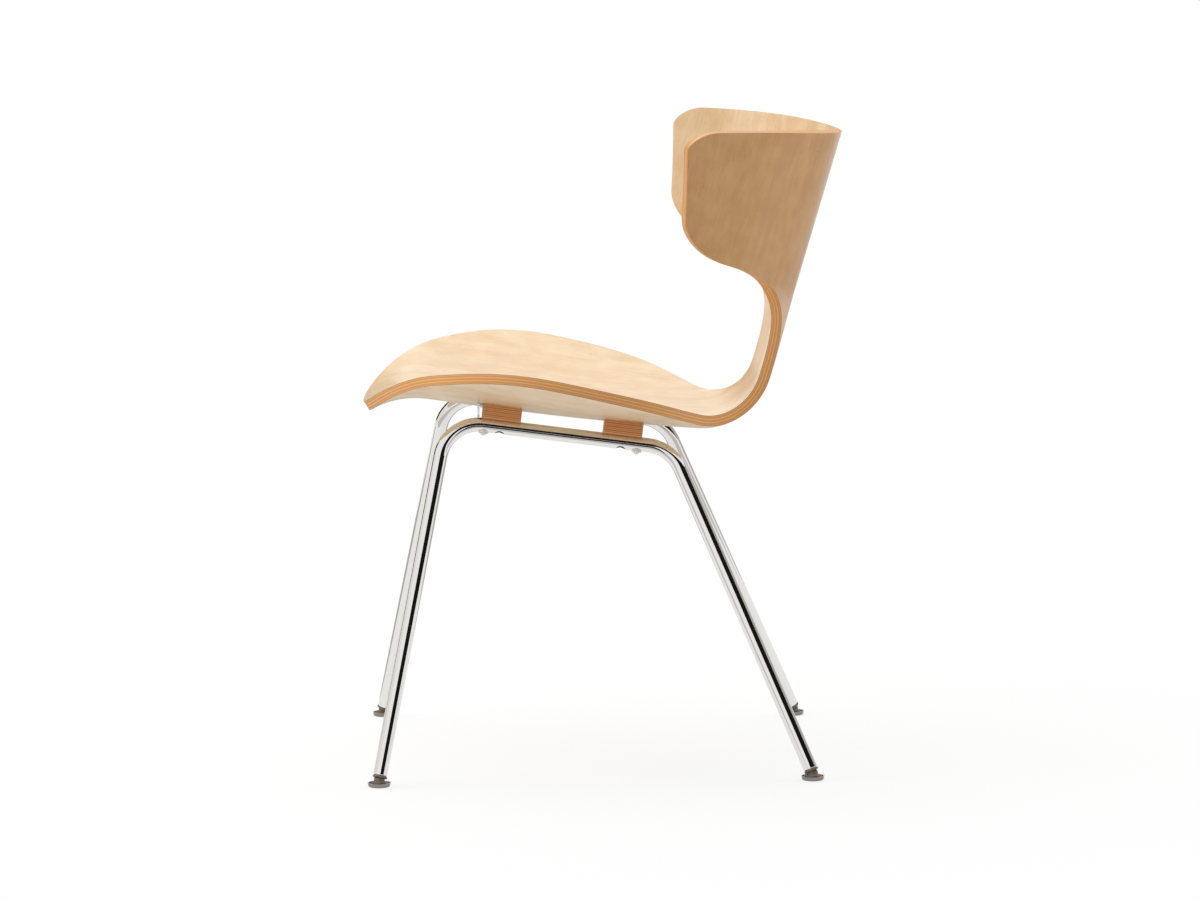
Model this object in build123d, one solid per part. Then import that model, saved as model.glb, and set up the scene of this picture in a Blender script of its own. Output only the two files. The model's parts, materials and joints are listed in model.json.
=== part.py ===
from build123d import *
import math
import os

# Stacking chair: a moulded plywood shell on two bent tube side frames with tilting glides.
# Millimetres, +Z up, the floor at Z 0. The sitter faces -Y and +X is the sitter's left.

# Shell: thickness and the centre line of its inner face, from the nose to the top of the back
SHELL_THICKNESS = 12.0
SEAT_REAR_Y = 105.9
SEAT_REAR_HEIGHT = 386.3
SEAT_SLOPE = 4.0
SEAT_SAG_RADIUS = 3490.0
SEAT_DEPTH = 378.4
NOSE_LENGTH = 74.5
NOSE_ROLL_RADIUS = 110.0
BEND_RADIUS = 72.0
BACK_LEAN = 16.6
BACK_HEIGHT = 324.7

# Shell: curvature across the seat and the ellipse that the wings wrap round
DISH_RADIUS_FRONT = 540.0
DISH_RADIUS_REAR = 700.0
WING_WRAP_WIDTH = 400.0
WING_WRAP_DEPTH = 265.0
WING_BLEND_START = 5.0
WING_BLEND_LENGTH = 105.0

# Shell: plan outline of the seat
SEAT_WIDTH = 476.0
SEAT_WIDEST_DEPTH = 160.9
SEAT_HIP_WIDTH = 426.0
SEAT_HIP_DEPTH = 55.9
SEAT_TUCK_WIDTH = 320.0
SEAT_TUCK_DEPTH = 5.9
NECK_WIDTH = 220.0
NECK_RUN = 31.1
WAIST_WIDTH = 168.0
WAIST_RUN = 74.1

# Shell: front outline of the back, with depths measured down from the middle of its top edge
WAIST_TOP_DROP = 205.0
FLARE_WIDTH = 195.0
FLARE_DROP = 175.7
WING_ROOT_WIDTH = 252.6
WING_ROOT_DROP = 149.9
WING_LOWER_WIDTH = 299.4
WING_LOWER_DROP = 137.7
WING_FRONT_WIDTH = 356.4
WING_FRONT_DROP = 85.0
WING_SHOULDER_WIDTH = 369.6
WING_SHOULDER_DROP = 9.7
WING_TIP_WIDTH = 349.0
WING_TIP_RISE = 10.8

# Side frames: bent round tube
TUBE_DIAMETER = 15.9
TUBE_WALL = 1.5
TUBE_BEND_RADIUS = 44.0
RAIL_SPACING = 250.0
RAIL_FRONT_OVERHANG = 60.0
RAIL_REAR_OVERHANG = 56.5
FRAME_LEAN = 15.75
FRONT_LEG_SPLAY = 3.7
REAR_LEG_SPLAY = 29.95

# Spacers between the rails and the shell
SPACER_FRONT_Y = -117.5
SPACER_PITCH = 135.7
SPACER_LENGTH = 44.0
SPACER_WIDTH = 28.0
SPACER_HEIGHT = 14.5
SPACER_SADDLE = 1.5
SPACER_CORNER = 2.0

# Screws, washers and threaded inserts that hold the shell to the rails
SCREW_DIAMETER = 6.0
SCREW_HEAD_DIAMETER = 9.5
SCREW_HEAD_HEIGHT = 3.0
SCREW_SOCKET_WIDTH = 4.0
SCREW_SOCKET_DEPTH = 1.8
SCREW_HOLE_CLEARANCE = 0.2
SCREW_TIP_GAP = 1.0
ACCESS_HOLE_DIAMETER = 11.0
WASHER_SEAT = 3.0
INSERT_DIAMETER = 9.0
INSERT_LENGTH = 9.0
INSERT_SINK = 0.5
THREAD_CLEARANCE = 0.03

# Front cross brace: flat bar on edge across both rails
BRACE_THICKNESS = 2.5
BRACE_DEPTH = 13.0
BRACE_GAP = 1.0
BRACE_END = 6.0

# Stacking bumpers under the rails
BUMPER_OFFSET = 18.0
BUMPER_DIAMETER = 11.0
BUMPER_FLANGE = 1.4
BUMPER_BUTTON_DIAMETER = 6.0
BUMPER_BUTTON_HEIGHT = 2.6
BUMPER_PIN_DIAMETER = 4.0
BUMPER_PIN_LENGTH = 4.0

# Glides: a plug in each tube end, a ball stud that turns in it, and a socket in a steel shoe
BALL_HEIGHT = 7.0
BALL_DIAMETER = 8.0
BALL_CLEARANCE = 0.05
TILT_LIMIT = 30.0
STUD_DIAMETER = 4.0
STUD_CLEARANCE = 0.05
STUD_FLANGE_DIAMETER = 6.8
STUD_FLANGE_HEIGHT = 0.6
STUD_HEAD_DIAMETER = 6.4
STUD_HEAD_HEIGHT = 1.8
STUD_END_PLAY = 0.1
TILT_CLEARANCE = 0.2
COLLAR_DIAMETER = 16.4
COLLAR_HEIGHT = 3.5
COLLAR_ROUND = 0.9
COLLAR_OFFSET = 7.0
PLUG_LENGTH = 17.5
PLUG_CLEARANCE = 0.03
PLUG_GUIDE_LENGTH = 11.5
PLUG_RELIEF_DIAMETER = 7.0
DOME_GAP = 0.1
SOCKET_WAIST_DROP = 1.6
SOCKET_WAIST_DIAMETER = 15.0
SOCKET_FOOT_DIAMETER = 18.6
SOCKET_FOOT_HEIGHT = 1.4
SOCKET_FLARE = 0.2
SHOE_DIAMETER = 26.0
SHOE_FLAT_DIAMETER = 20.4
SHOE_HEIGHT = 4.8
SHOE_WALL = 1.2
SHOE_LIP_FLARE = 0.3

# Resolution of the shell's surface, and spare surface past the trimmed outline
STATION_STEP = 13.0
ACROSS_STEPS = 24
SURFACE_TOLERANCE = 0.05
SURFACE_DEGREE_LOW = 3
SURFACE_DEGREE_HIGH = 5
SURFACE_MARGIN = 12.0

SIDES = {"left": 1, "right": -1}


def smooth(t):
    """Ease from 0 to 1 with level ends."""
    t = min(1.0, max(0.0, t))
    return t**3 * (10 - 15 * t + 6 * t * t)


def blend(a, b, t):
    return a + (b - a) * t


# Shell surface

def centre_line():
    """Inner face on the chair's centre plane: nose roll, seat, bend and back, in that order."""
    slope = math.radians(SEAT_SLOPE)
    seat_run = SEAT_DEPTH - NOSE_LENGTH
    seat_turn = math.degrees(seat_run / SEAT_SAG_RADIUS)
    nose_start = SEAT_SLOPE + seat_turn
    nose_run = (NOSE_LENGTH + SURFACE_MARGIN) / NOSE_ROLL_RADIUS
    nose_end = math.asin(nose_run - math.sin(math.radians(nose_start)))
    back_run = BACK_HEIGHT / math.cos(math.radians(BACK_LEAN)) + SURFACE_MARGIN
    start = (SEAT_REAR_Y, SEAT_REAR_HEIGHT)
    forward = (-math.cos(slope), math.sin(slope))
    rearward = (math.cos(slope), -math.sin(slope))
    with BuildLine(Plane.YZ):
        seat = JernArc(start, forward, SEAT_SAG_RADIUS, -seat_turn)
        nose = JernArc(seat @ 1, seat % 1, NOSE_ROLL_RADIUS, nose_start + math.degrees(nose_end))
        bend = JernArc(start, rearward, BEND_RADIUS, 90 - BACK_LEAN + SEAT_SLOPE)
        back = Line(bend @ 1, (bend @ 1) + (bend % 1) * back_run)
    return nose, seat, bend, back


def section(seat_share, wing_share):
    """Half axes of the ellipse across the shell, and how far from the centre plane it runs."""
    dish = 1 / blend(1 / DISH_RADIUS_FRONT, 1 / DISH_RADIUS_REAR, smooth(seat_share))
    share = smooth(wing_share)
    half_width = blend(dish, WING_WRAP_WIDTH / 2, share)
    depth = blend(dish, WING_WRAP_DEPTH, share)
    wing_reach = (WING_SHOULDER_WIDTH + WING_WRAP_WIDTH) / 4
    reach = blend(SEAT_WIDTH / 2 + SURFACE_MARGIN, wing_reach, share)
    return half_width, depth, reach


def section_points(point, tangent, half_width, depth, reach):
    """Points across the shell at one station, raised off the centre line towards the sitter."""
    normal = Vector(0, -tangent.Z, tangent.Y)
    limit = math.asin(reach / half_width)
    row = []
    for step in range(ACROSS_STEPS + 1):
        angle = limit * (2 * step / ACROSS_STEPS - 1)
        across = Vector(half_width * math.sin(angle), 0, 0)
        row.append(point + across + normal * (depth * (1 - math.cos(angle))))
    return row


def inner_surface():
    """Untrimmed inner face of the shell."""
    nose, seat, bend, back = centre_line()
    total = nose.length + seat.length + bend.length + back.length
    count = round(total / STATION_STEP)
    rows = []
    for index in range(count + 1):
        run = total * index / count
        seat_run = run - nose.length
        bend_run = seat_run - seat.length
        back_run = bend_run - bend.length
        if seat_run < 0:
            place = 1 - run / nose.length
            point, tangent = nose @ place, -(nose % place)
        elif bend_run < 0:
            place = 1 - seat_run / seat.length
            point, tangent = seat @ place, -(seat % place)
        elif back_run < 0:
            point, tangent = bend @ (bend_run / bend.length), bend % (bend_run / bend.length)
        else:
            place = min(1.0, back_run / back.length)
            point, tangent = back @ place, back % place
        shape = section(seat_run / seat.length, (back_run - WING_BLEND_START) / WING_BLEND_LENGTH)
        rows.append(section_points(point, tangent, *shape))
    return Face.make_surface_from_array_of_points(
        rows, tol=SURFACE_TOLERANCE, min_deg=SURFACE_DEGREE_LOW, max_deg=SURFACE_DEGREE_HIGH
    )


def seat_outline():
    """Plan of the seat down to the waist: an ellipse at the nose and a curve in to the neck."""
    nose_y = SEAT_REAR_Y - SEAT_WIDEST_DEPTH
    half = [
        (SEAT_WIDTH / 2, nose_y),
        (SEAT_HIP_WIDTH / 2, SEAT_REAR_Y - SEAT_HIP_DEPTH),
        (SEAT_TUCK_WIDTH / 2, SEAT_REAR_Y - SEAT_TUCK_DEPTH),
        (NECK_WIDTH / 2, SEAT_REAR_Y + NECK_RUN),
        (WAIST_WIDTH / 2, SEAT_REAR_Y + WAIST_RUN),
    ]
    behind = SEAT_REAR_Y + BACK_HEIGHT
    with BuildSketch() as outline:
        with BuildLine():
            EllipticalCenterArc(
                (0, nose_y), SEAT_WIDTH / 2, SEAT_DEPTH - SEAT_WIDEST_DEPTH, start_angle=270, arc_size=90
            )
            Spline(*half, tangents=[(0, 1), (0, 1)])
            Polyline(half[-1], (WAIST_WIDTH / 2, behind), (0, behind))
            mirror(about=Plane.YZ)
        make_face()
    return outline.sketch


def back_outline():
    """Front view of the waist and the winged back."""
    top = SEAT_REAR_HEIGHT + BACK_HEIGHT
    base = SEAT_REAR_HEIGHT + BEND_RADIUS
    waist = (WAIST_WIDTH / 2, top - WAIST_TOP_DROP)
    flare = (FLARE_WIDTH / 2, top - FLARE_DROP)
    root = (WING_ROOT_WIDTH / 2, top - WING_ROOT_DROP)
    lower = (WING_LOWER_WIDTH / 2, top - WING_LOWER_DROP)
    front = (WING_FRONT_WIDTH / 2, top - WING_FRONT_DROP)
    shoulder = (WING_SHOULDER_WIDTH / 2, top - WING_SHOULDER_DROP)
    tip = (WING_TIP_WIDTH / 2, top + WING_TIP_RISE)
    edge_rise = (shoulder[0] - front[0], shoulder[1] - front[1])
    lower_rise = (lower[0] - root[0], lower[1] - root[1])
    crest = (-tip[0], -WING_TIP_RISE)
    with BuildSketch() as outline:
        with BuildLine():
            Polyline((0, base), (WAIST_WIDTH / 2, base), waist)
            Spline(waist, flare, root, lower, tangents=[(0, 1), lower_rise])
            Spline(lower, front, tangents=[lower_rise, edge_rise])
            Line(front, shoulder)
            Spline(shoulder, tip, tangents=[edge_rise, crest])
            Spline(tip, (0, top), tangents=[crest, (-1, 0)])
            mirror(about=Plane.YZ)
        make_face()
    return outline.sketch


def trimmed_shell():
    """Shell with its edges square to its surface, as a pressed blank is trimmed."""
    above = SEAT_REAR_HEIGHT + BEND_RADIUS + SHELL_THICKNESS
    seat_block = extrude(Pos(0, 0, SEAT_REAR_HEIGHT / 2) * seat_outline(), above - SEAT_REAR_HEIGHT / 2)
    back_plane = Plane((0, SEAT_REAR_Y + BACK_HEIGHT, 0), x_dir=(1, 0, 0), z_dir=(0, -1, 0))
    back_block = extrude(back_plane * back_outline(), BACK_HEIGHT + SEAT_DEPTH / 4)
    face = inner_surface().intersect(seat_block + back_block).faces()[0]
    return Solid.thicken(face, SHELL_THICKNESS, normal_override=(0, 0, -1))


shell = trimmed_shell()


def underside(x, y):
    """Height of the shell's lower face above a point of the floor."""
    hits = shell.find_intersection_points(Axis((x, y, 0), (0, 0, 1)))
    return min(point.Z for point, _ in hits)


# Rail line of each side frame, parallel to the shell's lower face

tube_radius = TUBE_DIAMETER / 2
bore_radius = tube_radius - TUBE_WALL
rail_x = RAIL_SPACING / 2
spacer_ys = {"front": SPACER_FRONT_Y, "rear": SPACER_FRONT_Y + SPACER_PITCH}
rail_drop = (SPACER_HEIGHT + tube_radius) / math.cos(math.radians(FRAME_LEAN))
rail_zs = {end: underside(rail_x, y) - rail_drop for end, y in spacer_ys.items()}
rail_pitch = math.atan2(rail_zs["front"] - rail_zs["rear"], SPACER_PITCH)


def frame_axes(side):
    """Unit vectors of a side frame's plane: along its rail to the rear, and up towards the shell."""
    lean = math.radians(FRAME_LEAN)
    along = Vector(0, math.cos(rail_pitch), -math.sin(rail_pitch))
    square = Vector(0, math.sin(rail_pitch), math.cos(rail_pitch))
    up = square * math.cos(lean) - Vector(side, 0, 0) * math.sin(lean)
    return along, up


def rail_point(side, end, offset=0.0):
    """Point of a rail's axis under a spacer, moved along the rail by an offset."""
    along, _ = frame_axes(side)
    return Vector(side * rail_x, spacer_ys[end], rail_zs[end]) + along * offset


def rail_frame(side, end, offset=0.0):
    """Local frame on the rail's axis: x along the rail, z up towards the shell."""
    along, up = frame_axes(side)
    return Plane(rail_point(side, end, offset), x_dir=along, z_dir=up)


def leg_axis(side, end):
    """Unit vector up a leg from its foot."""
    along, up = frame_axes(side)
    if end == "front":
        splay = math.radians(FRONT_LEG_SPLAY)
        return up * math.cos(splay) + along * math.sin(splay)
    splay = math.radians(REAR_LEG_SPLAY)
    return up * math.cos(splay) - along * math.sin(splay)


def rail_corner(side, end):
    """Where a rail's axis meets a leg's axis."""
    if end == "front":
        return rail_point(side, end, -RAIL_FRONT_OVERHANG)
    return rail_point(side, end, RAIL_REAR_OVERHANG)


def ball_centre(side, end):
    corner = rail_corner(side, end)
    leg = leg_axis(side, end)
    return corner - leg * ((corner.Z - BALL_HEIGHT) / leg.Z)


def tube_end(side, end):
    return ball_centre(side, end) + leg_axis(side, end) * (COLLAR_OFFSET + COLLAR_HEIGHT)


# Solids of one side frame and what sits on it

def bent_tube(side, radius):
    points = [
        tube_end(side, "front"),
        rail_corner(side, "front"),
        rail_corner(side, "rear"),
        tube_end(side, "rear"),
    ]
    path = FilletPolyline(*points, radius=TUBE_BEND_RADIUS)
    start = Plane(path @ 0, z_dir=path % 0)
    return sweep(start * Circle(radius), path=path)


def upright(frame, radius, low, high):
    """Cylinder on a rail frame's z axis between two heights."""
    return extrude(frame.offset(low) * Circle(radius), high - low)


def side_frame(side, outer):
    tube = outer - bent_tube(side, bore_radius)
    for end in spacer_ys:
        frame = rail_frame(side, end)
        tube -= upright(frame, SCREW_DIAMETER / 2 + SCREW_HOLE_CLEARANCE, 0, 2 * tube_radius)
        tube -= upright(frame, ACCESS_HOLE_DIAMETER / 2, -2 * tube_radius, 0)
        pin = rail_frame(side, end, bumper_offset(end))
        tube -= upright(pin, BUMPER_PIN_DIAMETER / 2, -2 * tube_radius, 0)
    return tube


def bumper_offset(end):
    return -BUMPER_OFFSET if end == "front" else BUMPER_OFFSET


def spacer(side, end, outer):
    """Plywood block with a shallow saddle for the tube and a top that fits the shell."""
    frame = rail_frame(side, end)
    low = tube_radius - SPACER_SADDLE
    block = extrude(
        frame.offset(low) * RectangleRounded(SPACER_LENGTH, SPACER_WIDTH, SPACER_CORNER),
        SPACER_SADDLE + SPACER_HEIGHT + SHELL_THICKNESS,
    )
    block -= upright(frame, SCREW_DIAMETER / 2 + SCREW_HOLE_CLEARANCE, 0, 2 * low + 2 * SPACER_HEIGHT)
    pieces = (block - outer - shell).solids()
    return pieces.sort_by(Axis(frame.origin, frame.z_dir))[0]


def shell_depth(side, end):
    """Height of the shell's lower face above the rail's axis, on a screw's axis."""
    frame = rail_frame(side, end)
    hits = shell.find_intersection_points(Axis(frame.origin, frame.z_dir))
    return min((point - frame.origin).dot(frame.z_dir) for point, _ in hits)


def insert_hole(side, end):
    frame = rail_frame(side, end)
    depth = shell_depth(side, end)
    return upright(frame, INSERT_DIAMETER / 2, depth - SPACER_HEIGHT / 2, depth + INSERT_SINK + INSERT_LENGTH)


def threaded_insert(side, end):
    frame = rail_frame(side, end)
    low = shell_depth(side, end) + INSERT_SINK
    sleeve = upright(frame, INSERT_DIAMETER / 2, low, low + INSERT_LENGTH)
    return sleeve - upright(frame, SCREW_DIAMETER / 2 + THREAD_CLEARANCE, low, low + INSERT_LENGTH)


def screw(side, end):
    frame = rail_frame(side, end)
    tip = shell_depth(side, end) + INSERT_SINK + INSERT_LENGTH - SCREW_TIP_GAP
    head_low = WASHER_SEAT - SCREW_HEAD_HEIGHT
    body = upright(frame, SCREW_DIAMETER / 2, WASHER_SEAT, tip)
    body += upright(frame, SCREW_HEAD_DIAMETER / 2, head_low, WASHER_SEAT)
    hexagon = RegularPolygon(SCREW_SOCKET_WIDTH / 2, 6, major_radius=False)
    return body - extrude(frame.offset(head_low) * hexagon, SCREW_SOCKET_DEPTH)


def saddle_washer(side, end):
    """Half-moon washer between a screw's head and the tube's upper wall."""
    frame = rail_frame(side, end)
    blank = upright(frame, SCREW_HEAD_DIAMETER / 2, WASHER_SEAT, bore_radius)
    blank -= upright(frame, SCREW_DIAMETER / 2 + SCREW_HOLE_CLEARANCE, WASHER_SEAT, bore_radius)
    bore = frame * (Rot(0, 90, 0) * Cylinder(bore_radius, SPACER_LENGTH))
    return (blank & bore).solids()[0]


def bumper(side, end, outer):
    """Soft button with a flange that fits the tube and a pin in the tube's lower wall."""
    frame = rail_frame(side, end, bumper_offset(end))
    low = -tube_radius - BUMPER_FLANGE
    cap = upright(frame, BUMPER_DIAMETER / 2, low, -bore_radius) - outer
    cap = cap.solids().sort_by(Axis(frame.origin, frame.z_dir))[0]
    button = upright(frame, BUMPER_BUTTON_DIAMETER / 2, low - BUMPER_BUTTON_HEIGHT, low)
    rim = button.edges().sort_by(Axis(frame.origin, frame.z_dir))[0]
    button = fillet(rim, BUMPER_BUTTON_DIAMETER / 3)
    pin = upright(frame, BUMPER_PIN_DIAMETER / 2, low, low + BUMPER_PIN_LENGTH)
    return (cap + button + pin).solids()[0]


def cross_brace(tubes):
    """Flat bar on edge that follows the shell's lower face and sits on both rails."""
    y = SPACER_FRONT_Y - SPACER_LENGTH / 2 - BRACE_GAP - BRACE_THICKNESS
    end_x = rail_x + BRACE_END
    top_mid = underside(0, y) - BRACE_GAP
    top_end = underside(end_x, y) - BRACE_GAP
    plane = Plane((0, y, 0), x_dir=(1, 0, 0), z_dir=(0, -1, 0))
    with BuildSketch(plane) as outline:
        with BuildLine():
            ThreePointArc((-end_x, top_end), (0, top_mid), (end_x, top_end))
            Line((end_x, top_end), (end_x, top_end - BRACE_DEPTH))
            ThreePointArc(
                (end_x, top_end - BRACE_DEPTH), (0, top_mid - BRACE_DEPTH), (-end_x, top_end - BRACE_DEPTH)
            )
            Line((-end_x, top_end - BRACE_DEPTH), (-end_x, top_end))
        make_face()
    bar = extrude(outline.sketch, -BRACE_THICKNESS)
    pieces = (bar - tubes["left"] - tubes["right"]).solids()
    return pieces.sort_by(SortBy.VOLUME)[-1]


# Glides, each turned about its own axis

def turned(points):
    """Solid of revolution about the local z axis from radius and height pairs."""
    profile = make_face(Polyline(*points, close=True))
    return revolve(Plane.XZ * profile, Axis.Z)


def leg_place(side, end):
    return Plane(ball_centre(side, end), z_dir=leg_axis(side, end))


def shoe_place(side, end):
    centre = ball_centre(side, end)
    return Pos(centre.X, centre.Y, 0)


plug_top = COLLAR_OFFSET + COLLAR_HEIGHT + PLUG_LENGTH
guide_top = COLLAR_OFFSET + PLUG_GUIDE_LENGTH


def glide_plug():
    """Collar that closes a tube's end, and the plug above it that guides the stud."""
    plug_radius = bore_radius - PLUG_CLEARANCE
    guide = STUD_DIAMETER / 2 + STUD_CLEARANCE
    relief = PLUG_RELIEF_DIAMETER / 2
    collar = COLLAR_DIAMETER / 2
    shoulder = COLLAR_OFFSET + COLLAR_HEIGHT
    body = turned([
        (guide, COLLAR_OFFSET),
        (collar, COLLAR_OFFSET),
        (collar, shoulder),
        (plug_radius, shoulder),
        (plug_radius, plug_top),
        (relief, plug_top),
        (relief, guide_top),
        (guide, guide_top),
    ])
    circles = body.edges().filter_by(GeomType.CIRCLE)
    rims = circles.filter_by(lambda edge: edge.radius > collar - COLLAR_ROUND)
    return fillet(rims, COLLAR_ROUND)


def ball_stud():
    """Ball, neck flange, shank and retaining head in one turned piece."""
    shank = STUD_DIAMETER / 2
    flange_top = COLLAR_OFFSET - STUD_END_PLAY
    head_low = guide_top + STUD_END_PLAY
    stud = turned([
        (0, 0),
        (shank, 0),
        (shank, flange_top - STUD_FLANGE_HEIGHT),
        (STUD_FLANGE_DIAMETER / 2, flange_top - STUD_FLANGE_HEIGHT),
        (STUD_FLANGE_DIAMETER / 2, flange_top),
        (shank, flange_top),
        (shank, head_low),
        (STUD_HEAD_DIAMETER / 2, head_low),
        (STUD_HEAD_DIAMETER / 2, head_low + STUD_HEAD_HEIGHT),
        (0, head_low + STUD_HEAD_HEIGHT),
    ])
    return stud + Sphere(BALL_DIAMETER / 2)


def glide_socket():
    """Moulded socket: a domed neck round the ball that flares out to its foot in the shoe."""
    dome = COLLAR_OFFSET - STUD_END_PLAY - STUD_FLANGE_HEIGHT - DOME_GAP
    foot = SOCKET_FOOT_DIAMETER / 2
    floor = SHOE_WALL - BALL_HEIGHT
    waist = (SOCKET_WAIST_DIAMETER / 2, -SOCKET_WAIST_DROP)
    foot_top = (foot, floor + SOCKET_FOOT_HEIGHT)
    with BuildSketch(Plane.XZ) as profile:
        with BuildLine():
            Line((0, floor), (foot, floor))
            Line((foot, floor), foot_top)
            Spline(foot_top, waist, tangents=[(-1, SOCKET_FLARE), (-SOCKET_FLARE, 1)])
            Line(waist, (dome, 0))
            CenterArc((0, 0), dome, 0, 90)
            Line((0, dome), (0, floor))
        make_face()
    body = revolve(profile.sketch, Axis.Z)
    mouth_reach = STUD_DIAMETER / 2 + TILT_CLEARANCE
    tilt = math.radians(TILT_LIMIT)
    apex = -mouth_reach / math.sin(tilt)
    mouth = turned([(0, apex), ((dome - apex) * math.tan(tilt), dome), (0, dome)])
    return body - Sphere(BALL_DIAMETER / 2 + BALL_CLEARANCE) - mouth


def glide_shoe():
    """Pressed steel saucer with a flat base and a turned-up lip."""
    flat = SHOE_FLAT_DIAMETER / 2
    lip = SHOE_DIAMETER / 2
    inner_lip = (lip - SHOE_WALL, SHOE_HEIGHT)
    inner_flat = (flat - SHOE_WALL / 2, SHOE_WALL)
    with BuildSketch(Plane.XZ) as profile:
        with BuildLine():
            Line((0, 0), (flat, 0))
            Spline((flat, 0), (lip, SHOE_HEIGHT), tangents=[(1, 0), (SHOE_LIP_FLARE, 1)])
            Line((lip, SHOE_HEIGHT), inner_lip)
            Spline(inner_lip, inner_flat, tangents=[(-SHOE_LIP_FLARE, -1), (-1, 0)])
            Line(inner_flat, (0, SHOE_WALL))
            Line((0, SHOE_WALL), (0, 0))
        make_face()
    return revolve(profile.sketch, Axis.Z)


# Assembly: every piece as its own named solid

solids = {}
tubes = {name: bent_tube(side, tube_radius) for name, side in SIDES.items()}
plug, stud, socket, shoe = glide_plug(), ball_stud(), glide_socket(), glide_shoe()
drilled = shell
for name, side in SIDES.items():
    solids[f"side_frame_{name}"] = side_frame(side, tubes[name])
    for end in spacer_ys:
        corner = f"{end}_{name}"
        solids[f"spacer_{corner}"] = spacer(side, end, tubes[name])
        solids[f"frame_screw_{corner}"] = screw(side, end)
        solids[f"saddle_washer_{corner}"] = saddle_washer(side, end)
        solids[f"threaded_insert_{corner}"] = threaded_insert(side, end)
        solids[f"stack_bumper_{corner}"] = bumper(side, end, tubes[name])
        solids[f"glide_plug_{corner}"] = leg_place(side, end).location * plug
        solids[f"glide_stud_{corner}"] = leg_place(side, end).location * stud
        solids[f"glide_socket_{corner}"] = shoe_place(side, end) * Pos(0, 0, BALL_HEIGHT) * socket
        solids[f"glide_shoe_{corner}"] = shoe_place(side, end) * shoe
        drilled -= insert_hole(side, end)
solids["front_cross_brace"] = cross_brace(tubes)
solids["seat_shell"] = drilled

# The origin stands at the middle of the overall depth, which runs from the nose to the top of the back
low = min(edge.bounding_box().min.Y for edge in shell.edges())
high = max(edge.bounding_box().max.Y for edge in shell.edges())
middle = Pos(0, -(low + high) / 2, 0)

os.makedirs("parts", exist_ok=True)
for name, solid in solids.items():
    export_step(middle * solid, f"parts/{name}.step")

for name, side in SIDES.items():
    for end in spacer_ys:
        centre = ball_centre(side, end) - Vector(0, (low + high) / 2, 0)
        leg = leg_axis(side, end)
        print("glide", end, name, "ball", tuple(centre), "leg", tuple(leg))
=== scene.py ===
import json
import math

import bpy
import numpy as np
from mathutils import Matrix, Vector
from mathutils.bvhtree import BVHTree


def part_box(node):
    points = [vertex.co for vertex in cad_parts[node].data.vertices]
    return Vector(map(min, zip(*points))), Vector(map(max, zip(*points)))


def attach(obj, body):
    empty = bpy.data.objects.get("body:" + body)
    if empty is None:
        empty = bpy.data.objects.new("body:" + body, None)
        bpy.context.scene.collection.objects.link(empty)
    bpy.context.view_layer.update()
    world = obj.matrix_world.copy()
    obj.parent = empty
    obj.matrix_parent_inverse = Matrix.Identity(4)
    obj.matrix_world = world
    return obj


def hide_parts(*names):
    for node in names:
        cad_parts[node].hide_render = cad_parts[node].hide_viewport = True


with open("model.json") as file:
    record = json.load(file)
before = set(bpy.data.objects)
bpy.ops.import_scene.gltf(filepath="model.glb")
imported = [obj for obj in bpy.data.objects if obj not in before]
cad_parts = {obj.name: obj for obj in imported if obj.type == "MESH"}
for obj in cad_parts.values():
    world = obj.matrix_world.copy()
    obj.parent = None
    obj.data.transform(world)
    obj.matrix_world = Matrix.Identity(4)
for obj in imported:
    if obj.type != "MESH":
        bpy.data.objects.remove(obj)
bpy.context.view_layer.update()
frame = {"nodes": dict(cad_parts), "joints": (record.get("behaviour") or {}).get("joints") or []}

bl_info = {
    "name": "Stacking chair",
    "version": (1, 0, 0),
    "blender": (4, 5, 0),
    "location": "3D View > Sidebar > Chair",
    "description": "Moulded plywood shell, chromed side frames and tilting glides of a stacking chair",
    "category": "Object",
}

# Metres and degrees. +Z is up, the sitter faces -Y and +X is the sitter's left.

# Shell: the centre line of its inner face, from the nose to the top of the back
SHELL_THICKNESS = 0.012
SEAT_REAR_Y = 0.1059
SEAT_REAR_HEIGHT = 0.3863
SEAT_SLOPE = 4.0
SEAT_SAG_RADIUS = 3.49
SEAT_DEPTH = 0.3784
NOSE_LENGTH = 0.0745
NOSE_ROLL_RADIUS = 0.110
BEND_RADIUS = 0.072
BACK_LEAN = 16.6
BACK_HEIGHT = 0.3247

# Shell: curvature across the seat and the ellipse that the wings wrap round
DISH_RADIUS_FRONT = 0.540
DISH_RADIUS_REAR = 0.700
WING_WRAP_WIDTH = 0.400
WING_WRAP_DEPTH = 0.265
WING_BLEND_START = 0.005
WING_BLEND_LENGTH = 0.105

# Shell: half outline of the seat in plan, as half width and distance from the seat's rear
SEAT_WIDTH = 0.476
SEAT_WIDEST_DEPTH = 0.1609
WAIST_WIDTH = 0.168
SEAT_SIDE = [
    (SEAT_WIDTH / 2, -SEAT_WIDEST_DEPTH),
    (0.213, -0.0559),
    (0.160, -0.0059),
    (0.110, 0.0311),
    (WAIST_WIDTH / 2, 0.0741),
]

# Shell: half outline of the back from the front, as half width and drop from the top of its middle
WAIST_TOP = (WAIST_WIDTH / 2, 0.205)
FLARE = (0.0935, 0.1757)
WING_ROOT = (0.1263, 0.1499)
WING_LOWER = (0.1497, 0.1377)
WING_FRONT = (0.1782, 0.085)
WING_SHOULDER = (0.1848, 0.0097)
WING_TIP = (0.1745, -0.0108)

# Shell: rows and columns of its mesh, and where along the nose's ellipse the rows begin
SHELL_ROWS = 190
SHELL_COLUMNS = 96
NOSE_CORNER = 48.0

# Shell: points along the nose, the sides and the shorter curves of its outline, and the halvings that find
# a place on its inner face
NOSE_POINTS = 120
SIDE_POINTS = 60
CURVE_POINTS = 40
HALVINGS = 50

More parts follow.
